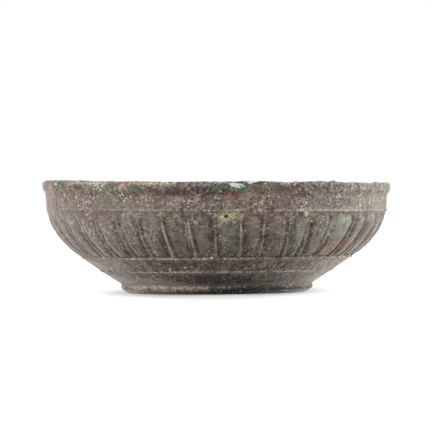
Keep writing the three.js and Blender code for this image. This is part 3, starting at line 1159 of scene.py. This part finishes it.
    def _relief(
        self,
        away: np.ndarray,
        across: np.ndarray,
        below: np.ndarray,
        length: float,
        half_spacing: np.ndarray,
        rib: dict[str, np.ndarray],
        shallow: np.ndarray,
    ) -> tuple[np.ndarray, np.ndarray, np.ndarray, np.ndarray]:
        """Work out the chased surface: thin ribs, valleys on the tongues' outlines, and low crowns.

        Args:
            away: Millimetres from the rib's middle.
            across: The same with its sign, + to the right.
            below: Millimetres below the upper fillet, along the wall.
            length: The frieze's length.
            half_spacing: Half the distance between ribs.
            rib: What each vertex's own rib is like.
            shallow: The share of the full depth that the valleys have.

        Returns:
            The height of the surface, and how far it is a valley, a worn edge with a painted highlight, and
            a tongue's crown.
        """
        down = np.clip(below / length, 0, 1)
        wedge = smooth(down, 0.55, 1.0)
        half = 0.22 + 0.12 * down + (rib["foot_half"] - 0.3) * wedge
        rib_height = rib["top"] + (1 - rib["top"]) * smooth(down, 0.15, 0.6)
        side = half + 0.55
        rise = np.clip((self.arch_start + self.arch_height - below) / self.arch_height, 0, None)
        inner = np.clip((half_spacing - away) / (half_spacing - side), 0, None)
        arch = (1 - np.hypot(inner, rise)) * self.arch_height
        inside = np.where(rise > 0, np.minimum(arch, away - side), away - side)
        inside = np.minimum(inside, length - 0.9 - below)
        depth = (0.55 + 0.08 * np.sin(7 * down + 3 * rib["bright"])) * shallow
        valley = np.where(inside > 0, 1 - smooth(inside, 0.3, 2.3), 1 - smooth(-inside, 0.1, 0.6))
        crown = 0.18 * smooth(inside, 0.6, 2.6)
        ridge = (1 - smooth(away, half * 0.6, half + 0.35)) * (rise < 0.7)
        relief = crown - depth * valley
        relief -= 0.4 * depth * (1 - rib_height) * ridge
        twin_away = np.abs(across - rib["twin"])
        twin = (rib["twin"] != 0) * (1 - smooth(twin_away, 0.12, 0.42)) * smooth(down, 0.12, 0.25)
        twin *= 1 - smooth(down, 0.8, 0.9)
        fork_away = np.abs(away - 2.6 * smooth(down, 0.6, 1.0))
        fork = rib["forked"] * (1 - smooth(fork_away, 0.2, 0.6)) * smooth(down, 0.6, 0.7)
        extra = np.maximum(twin, fork)
        relief = relief + (0.12 - relief) * extra * 0.85
        groove_and_shade = np.clip(valley - ridge * rib_height - extra, 0, 1) * shallow
        edge = np.clip(np.maximum(ridge * rib_height, extra), 0, 1) * (0.25 + 0.75 * rib["bright"])
        return relief, groove_and_shade, edge, smooth(inside, 0.9, 2.4) * smooth(below, 1.5, 5.0)

    def _settle(self, piece: bpy.types.Object) -> None:
        """Lean the bowl on its foot and wear the top of its lip, without moving the seat."""
        places = points_of(piece)
        x, y, z = places.T
        slope = math.tan(math.radians(self.lean_degrees))
        risen = np.clip((z - self.seat_height) / (self.height - self.seat_height), 0, 1)
        angle = np.arctan2(y, x)
        worn = self.wear + sum(depth * np.sin(turns * angle + phase) for turns, depth, phase in self.waves)
        at_left = 1 - smooth(180 - np.abs(np.degrees(angle)), 5, 45)
        outer = smooth(np.hypot(x, y), 73.0, 73.8)
        rounding = 1 - self.left_rounding * at_left * outer * smooth(z, 45.6, 48.0) ** 2 / self.lip_radius
        places[:, 0] *= rounding
        places[:, 1] *= rounding
        places[:, 2] = z - x * slope * risen - worn * smooth(z, self.height - self.lip_depth, self.height)
        put_points(piece, places)

    def _corrode_all(self, piece: bpy.types.Object, row: np.ndarray) -> None:
        """Roughen the surface, most at the lip, and keep the seat flat and the size within the frame.

        Args:
            piece: The chased bowl.
            row: The section row of each vertex.
        """
        before = points_of(piece)
        group = piece.vertex_groups.new(name="lip")
        lip = np.nonzero((row >= self.lip_first + 4) & (row < self.inside_first + 4))[0]
        group.add(lip.tolist(), 1.0, "REPLACE")
        free = piece.vertex_groups.new(name="free")
        free.add(np.nonzero(row > self.seat_row)[0].tolist(), 1.0, "REPLACE")
        corrode(piece, "wide dents", 9.0, 0.3, "free")
        corrode(piece, "small pits", 1.6, 0.16, "free")
        corrode(piece, "lip crust", 2.6, 0.75, "lip")
        places = points_of(piece)
        _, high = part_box("bowl_body")
        places[:, 2] = np.minimum(places[:, 2], high.z / MM - self.clearance)
        reach = np.hypot(places[:, 0], places[:, 1])
        shrink = np.minimum(1, (self.lip_radius - self.clearance) / np.maximum(reach, 1))
        places[:, :2] *= shrink[:, None]
        places[row <= self.seat_row] = before[row <= self.seat_row]
        put_points(piece, places)
        piece.vertex_groups.clear()


@dataclass
class RingFoot:
    """The low turned foot, and the earth that has gathered in the seam above it."""

    rest_inner: float = 35.1
    rest_outer: float = 37.7
    top_inner: float = 34.4
    top: float = 3.3
    sectors: int = 36
    columns: int = 10
    bead_centre: Point = (40.8, 3.45)
    bead_half: Point = (0.5, 0.55)
    bead_sides: int = 8

    def build(self) -> bpy.types.Object:
        """Turn the foot and roughen its side.

        Returns:
            The finished mesh.
        """
        section = [(self.rest_inner, 0.0), (36.4, 0.0), (self.rest_outer, 0.0), (38.5, 0.12), (39.1, 0.42)]
        section += [(39.7, 0.8), (40.4, 1.3), (40.85, 1.7), (41.15, 2.1), (41.25, 2.5), (41.25, 2.9)]
        section += [(41.2, self.top), (38.0, self.top), (self.top_inner, self.top)]
        section += [(34.6, 2.2), (34.9, 1.0)]
        piece = turned_on_the_lathe("foot_ring", section, self.sectors, self.columns, True)
        before = points_of(piece)
        corrode(piece, "foot dents", 6.0, 0.3)
        corrode(piece, "foot pits", 1.2, 0.16)
        places = points_of(piece)
        level = before[:, 2]
        free = smooth(level, 0.05, 0.9) * (1 - smooth(level, 3.0, 3.29))
        places = before + (places - before) * free[:, None]
        put_points(piece, places)
        # Painted shade: the foot darkens towards its base, where it meets the table.
        put_attribute(piece, "groove_and_shade", 0.8 * (1 - smooth(level, 0.2, 1.4)))
        put_attribute(piece, "edge", np.zeros(len(level)))
        outer = (np.hypot(before[:, 0], before[:, 1]) > 36).astype(float)
        put_attribute(piece, "outside", outer)
        put_attribute(piece, "sloped", outer)
        work_on(piece)
        bpy.ops.object.shade_smooth_by_angle(angle=math.radians(40))
        return piece

    def build_earth(self) -> bpy.types.Object:
        """Lay an uneven bead of earth in the seam between the foot and the wall.

        Returns:
            The finished mesh.
        """
        (radius, level), (wide, tall) = self.bead_centre, self.bead_half
        turns = [FULL_TURN * step / self.bead_sides for step in range(self.bead_sides)]
        section = [(radius + wide * math.cos(turn), level + tall * math.sin(turn)) for turn in turns]
        piece = turned_on_the_lathe("seam_earth", section, self.sectors, self.columns, True)
        places = points_of(piece)
        angle = np.arctan2(places[:, 1], places[:, 0])
        swell = 0.75 + 0.25 * np.sin(9 * angle + 1) * np.sin(23 * angle) + 0.15 * np.sin(57 * angle)
        reach = np.hypot(places[:, 0], places[:, 1])
        wanted = radius + (reach - radius) * swell
        places[:, :2] *= (wanted / reach)[:, None]
        places[:, 2] = level + (places[:, 2] - level) * swell
        put_points(piece, places)
        put_attribute(piece, "outside", np.ones(len(places)))
        put_attribute(piece, "sloped", np.ones(len(places)))
        work_on(piece)
        bpy.ops.object.shade_smooth()
        return piece


@dataclass(frozen=True)
class Lump:
    """A separate lump or flake of crust, by its place round the bowl, in degrees and millimetres."""

    name: str
    azimuth: float
    height: float
    width: float
    tall: float
    thick: float
    finish: str
    tilt: float = 0.0


@dataclass
class RimCrust:
    """The raised crusts: mint and copper flakes on the lip, lime lumps lower down, and scattered grains."""

    body: bpy.types.Object
    most_drops: int = 20
    drop: float = 0.1
    ray_start: float = 90.0
    sunk_share: float = 0.12
    grain_count: int = 260
    clearance: float = 0.02
    lumps: tuple[Lump, ...] = (
        Lump("mint_flake", 6.8, 46.0, 6.8, 1.8, 0.9, "mint", 6),
        Lump("mint_lump", 11.6, 47.8, 4.6, 1.9, 1.6, "mint", -4),
        Lump("lifted_edge", 6.4, 47.6, 8.0, 0.9, 1.7, "dark", -2),
        Lump("lifted_edge_right", 13.6, 47.1, 7.0, 0.8, 1.9, "dark", -8),
        Lump("teal_under_flake", 8.8, 45.2, 3.4, 0.8, 0.5, "teal", 12),
        Lump("green_spot", -65.2, 47.2, 1.8, 0.8, 0.7, "mint", 10),
        Lump("teal_spot", -63.8, 46.6, 2.6, 1.0, 0.6, "teal", -10),
        Lump("copper_flake", -23.9, 47.4, 5.6, 0.9, 0.8, "copper", 3),
        Lump("copper_chip", -31.9, 46.0, 1.5, 0.8, 0.5, "copper", 35),
        Lump("copper_chip_above", -30.7, 47.0, 1.6, 0.7, 0.5, "copper", -25),
        Lump("yellow_lump", 30.8, 34.2, 2.0, 3.2, 1.4, "yellow", -10),
        Lump("lime_speck", -53.2, 41.6, 0.7, 2.0, 0.5, "lime", -12),
        Lump("lime_spot", -14.3, 11.8, 1.5, 0.8, 0.5, "lime", 0),
        Lump("lime_foot_of_rib", -2.0, 15.9, 1.6, 0.9, 0.5, "lime", 0),
        Lump("lime_fork", -22.4, 10.9, 0.6, 1.7, 0.4, "lime", 10),
        Lump("lime_fork_arm", -22.0, 11.5, 1.3, 0.5, 0.4, "lime", 40),
        Lump("yellow_ring_left", 1.9, 33.0, 1.4, 1.2, 0.5, "yellow", 0),
        Lump("yellow_ring_right", 4.6, 33.6, 1.2, 1.0, 0.5, "yellow", 0),
        Lump("rim_bump", 41.2, 47.3, 3.2, 1.5, 1.8, "grey", 0),
        Lump("rim_bump_right", 67.4, 47.0, 3.4, 1.5, 1.8, "grey", 0),
        Lump("mint_chip_behind", 152.0, 46.6, 4.0, 1.6, 0.8, "mint", 5),
        Lump("teal_chip_behind", -126.0, 46.4, 5.0, 1.4, 0.8, "teal", -5),
    )

    def build(self, finishes: dict[str, bpy.types.Material]) -> list[bpy.types.Object]:
        """Model every lump and the scattered grains.

        Args:
            finishes: The crust materials by name.

        Returns:
            The finished pieces.
        """
        pieces = []
        for number, lump in enumerate(self.lumps):
            piece = self._lump(lump, number)
            dress(piece, finishes[lump.finish])
            pieces.append(piece)
        grains = self._grains(self.grain_count)
        dress(grains, finishes["lime"])
        pieces.append(grains)
        return pieces

    def seat(self, azimuth: float, height: float) -> tuple[Vector, Vector]:
        """Find the outer surface at a place round the bowl, or just below it where the worn lip is lower.

        Args:
            azimuth: Degrees round from the front.
            height: Millimetres above the resting face.

        Returns:
            The point on the surface and its outward normal.
        """
        outward = Vector((math.sin(math.radians(azimuth)), -math.cos(math.radians(azimuth)), 0))
        for number in range(self.most_drops):
            level = (height - self.drop * number) * MM
            start = outward * (self.ray_start * MM) + Vector((0, 0, level))
            hit, place, normal, _ = self.body.ray_cast(start, -outward)
            if hit and place.dot(outward) > 0:
                return place, normal
        raise ValueError(f"no surface at {azimuth} degrees and {height} mm")

    def _lump(self, lump: Lump, number: int) -> bpy.types.Object:
        """Shape one lump from a sphere and bed it in the surface.

        Args:
            lump: Its place and size.
            number: Its number, which sets its ragged outline.

        Returns:
            The finished mesh.
        """
        bpy.ops.object.select_all(action="DESELECT")
        bpy.ops.mesh.primitive_ico_sphere_add(subdivisions=4, radius=0.5 * MM, location=(0, 0, 0))
        piece = bpy.context.object
        piece.name = lump.name
        places = points_of(piece)
        for place in places:
            seed = Vector(place * 2.6) + Vector((number * 7.1, 0, 0))
            place *= 1 + 0.35 * noise.noise(seed) + 0.12 * noise.noise(seed * 2.3)
        put_points(piece, places * (lump.width, lump.thick, lump.tall))
        surface, normal = self.seat(lump.azimuth, lump.height)
        flat = Vector((normal.x, normal.y, 0)).normalized()
        turn = Matrix((flat.cross(Vector((0, 0, -1))), -flat, Vector((0, 0, 1)))).transposed().to_4x4()
        tilt = Matrix.Rotation(math.radians(lump.tilt), 4, "Y")
        sunk = surface - normal * (self.sunk_share * lump.thick * MM)
        piece.data.transform(Matrix.Translation(sunk) @ turn @ tilt)
        self._keep_inside(piece)
        work_on(piece)
        bpy.ops.object.shade_smooth()
        return piece

    def _keep_inside(self, piece: bpy.types.Object) -> None:
        """Hold a crust within the frame's height and reach."""
        places = points_of(piece)
        _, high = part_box("bowl_body")
        places[:, 2] = np.minimum(places[:, 2], high.z / MM - self.clearance)
        reach = np.hypot(places[:, 0], places[:, 1])
        places[:, :2] *= np.minimum(1, (high.x / MM - self.clearance) / reach)[:, None]
        put_points(piece, places)

    def _grains(self, count: int) -> bpy.types.Object:
        """Scatter small lime grains over the outside, thicker in the band and below the lip.

        Args:
            count: How many grains there are.

        Returns:
            All grains as one mesh.
        """
        bpy.ops.object.select_all(action="DESELECT")
        bpy.ops.mesh.primitive_ico_sphere_add(subdivisions=1, radius=0.5 * MM, location=(0, 0, 0))
        pattern = bpy.context.object
        chance = np.random.default_rng(5)
        copies = []
        for number in range(count):
            azimuth = chance.uniform(-180, 180)
            height = chance.choice((chance.uniform(36.5, 44), chance.uniform(5, 46)))
            size = 0.3 + 0.5 * chance.random() ** 2
            surface, normal = self.seat(azimuth, height)
            copy = pattern.copy()
            copy.data = pattern.data.copy()
            bpy.context.scene.collection.objects.link(copy)
            stretch = chance.uniform(0.6, 1.5)
            shape = Matrix.Diagonal((size * stretch, size / stretch, size * 0.6, 1))
            turn = normal.to_track_quat("Z", "Y").to_matrix().to_4x4()
            spin = Matrix.Rotation(chance.uniform(0, math.pi), 4, "Z")
            copy.data.transform(Matrix.Translation(surface) @ turn @ spin @ shape)
            copies.append(copy)
        bpy.data.objects.remove(pattern)
        bpy.ops.object.select_all(action="DESELECT")
        for copy in copies:
            copy.select_set(True)
        bpy.context.view_layer.objects.active = copies[0]
        bpy.ops.object.join()
        grains = bpy.context.object
        grains.name = "lime_grains"
        self._keep_inside(grains)
        return grains


@dataclass(frozen=True)
class Lamp:
    """One soft lamp, in metres and watts."""

    name: str
    place: tuple[float, float, float]
    size: tuple[float, float]
    power: float


@dataclass
class Studio:
    """The white table, the soft lamps and the long lens."""

    lens: float = 347.8
    distance: float = 1.8
    eye_height: float = 0.048
    view_width: float = 0.1863
    view_centre: float = 0.0328
    roll_degrees: float = 0.56
    sky: float = 0.5
    table_lit: float = 0.27
    table_seen: float = 0.76
    table_glow: float = 0.7
    shadow_scale: tuple[float, float, float] = (2.9, 0.7, 1.0)
    shadow_reach: tuple[float, float] = (0.06, 0.185)
    lamps: tuple[Lamp, ...] = (
        Lamp("left_lamp", (-1.7, -0.15, 0.45), (1.3, 0.9), 27.0),
        Lamp("right_lamp", (1.7, 0.3, 0.4), (1.3, 0.9), 48.0),
        Lamp("front_lamp", (-0.4, -1.7, 0.8), (1.2, 1.0), 15.5),
    )

    def build(self) -> None:
        """Set up the camera, the world, the table and the lamps."""
        self._camera()
        self._world()
        self._table()
        for lamp in self.lamps:
            self._lamp(lamp)
        bpy.context.scene.view_settings.view_transform = "Standard"

    def _camera(self) -> None:
        """Place the long lens at the height of the lip, rolled as in the photograph."""
        data = bpy.data.cameras.new("long_lens")
        data.lens = self.lens
        data.sensor_width = 36.0
        data.shift_y = (self.view_centre - self.eye_height) / self.view_width
        camera = bpy.data.objects.new("long_lens", data)
        camera.location = (0, -self.distance, self.eye_height)
        camera.rotation_euler = (math.pi / 2, math.radians(self.roll_degrees), 0)
        bpy.context.scene.collection.objects.link(camera)
        bpy.context.scene.camera = camera

    def _seen_directly(self, sheet: NodeSheet) -> Value:
        """Tell the rays that see a background: from the camera, in a reflection or through glass."""
        path = "ShaderNodeLightPath"
        names = ("Is Camera Ray", "Is Glossy Ray", "Is Transmission Ray")
        seen = [sheet.add(path, {}, {}, name) for name in names]
        return sheet.maths("MINIMUM", seen[0] + seen[1] + seen[2], 1.0)

    def _world(self) -> None:
        """Surround the scene with white that lights it softly."""
        world = bpy.data.worlds.new("white_room")
        bpy.context.scene.world = world
        world.use_nodes = True
        sheet = NodeSheet(world.node_tree)
        strength = self.sky + (1.0 - self.sky) * self._seen_directly(sheet)
        back = sheet.add("ShaderNodeBackground", {}, {"Color": (1.0, 1.0, 1.0), "Strength": strength})
        sheet.add("ShaderNodeOutputWorld", {}, {"Surface": back})

    def _table(self) -> None:
        """Lay the pale table, white to the camera, with the bowl's shadow on it."""
        bpy.ops.object.select_all(action="DESELECT")
        bpy.ops.mesh.primitive_plane_add(size=12, location=(0, 0, 0))
        table = bpy.context.object
        table.name = "table"
        material, sheet = new_material("pale_table")
        seen = self._seen_directly(sheet)
        colour = sheet.blend(seen, (self.table_lit,) * 3, (self.table_seen,) * 3)
        chalk = sheet.add(Shader.DIFFUSE.value, {}, {"Color": colour})
        place = sheet.add("ShaderNodeTexCoord", {}, {}, "Object")
        place = sheet.vector_maths("MULTIPLY", place, self.shadow_scale)
        reach = sheet.add("ShaderNodeVectorMath", {"operation": "LENGTH"}, {0: place}, "Value")
        glow = seen * reach.rise(*self.shadow_reach) * self.table_glow
        glow = sheet.add(Shader.GLOW.value, {}, {"Color": (1.0, 1.0, 1.0), "Strength": glow})
        both = sheet.add(Shader.SUM.value, {}, {0: chalk, 1: glow})
        sheet.add("ShaderNodeOutputMaterial", {}, {"Surface": both})
        table.data.materials.append(material)

    def _lamp(self, lamp: Lamp) -> None:
        """Hang one soft lamp, turned to the bowl.

        Args:
            lamp: Its place, size and power.
        """
        data = bpy.data.lights.new(lamp.name, "AREA")
        data.shape = "RECTANGLE"
        data.size, data.size_y = lamp.size
        data.energy = lamp.power
        light = bpy.data.objects.new(lamp.name, data)
        light.location = lamp.place
        aim = Vector((0, 0, 0.025)) - Vector(lamp.place)
        light.rotation_euler = aim.to_track_quat("-Z", "Y").to_euler()
        bpy.context.scene.collection.objects.link(light)


def main() -> None:
    """Build the studio and every piece, in order, and report each one."""
    logging.basicConfig(level=logging.INFO, format="%(message)s")
    Studio().build()
    LOG.info("studio ready")
    patina = Patina("brown_patina").material()
    foot_patina = Patina("foot_patina", paint(116, 104, 95), paint(108, 103, 92)).material()
    finishes = {
        "mint": Crust("mint_crust", MINT, MINT_SHADE).material(),
        "teal": Crust("teal_crust", TEAL, DARK_GREEN).material(),
        "dark": Crust("dark_crust", paint(62, 74, 64), NEAR_BLACK).material(),
        "copper": Crust("copper_crust", COPPER, COPPER_SHADE).material(),
        "yellow": Crust("yellow_lime", PALE_YELLOW, TAN).material(),
        "lime": Crust("lime", LIME_WHITE, LIME_SHADE).material(),
        "grey": Crust("grey_crust", TAN, DULL_BROWN).material(),
    }
    body = BowlBody().build()
    dress(body, patina)
    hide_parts("bowl_body")
    LOG.info("%s: %d faces", body.name, len(body.data.polygons))
    ring = RingFoot().build()
    dress(ring, foot_patina)
    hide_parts("ring_foot")
    seam = RingFoot().build_earth()
    dress(seam, foot_patina)
    LOG.info("%s and %s ready", ring.name, seam.name)
    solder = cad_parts["foot_solder"]
    solder.data.materials.clear()
    grey = Crust("grey_solder", paint(140, 138, 130), paint(96, 90, 82), 0.5)
    solder.data.materials.append(grey.material())
    for piece in RimCrust(body).build(finishes):
        LOG.info("%s: %d faces", piece.name, len(piece.data.polygons))


if __name__ == "__main__":
    main()
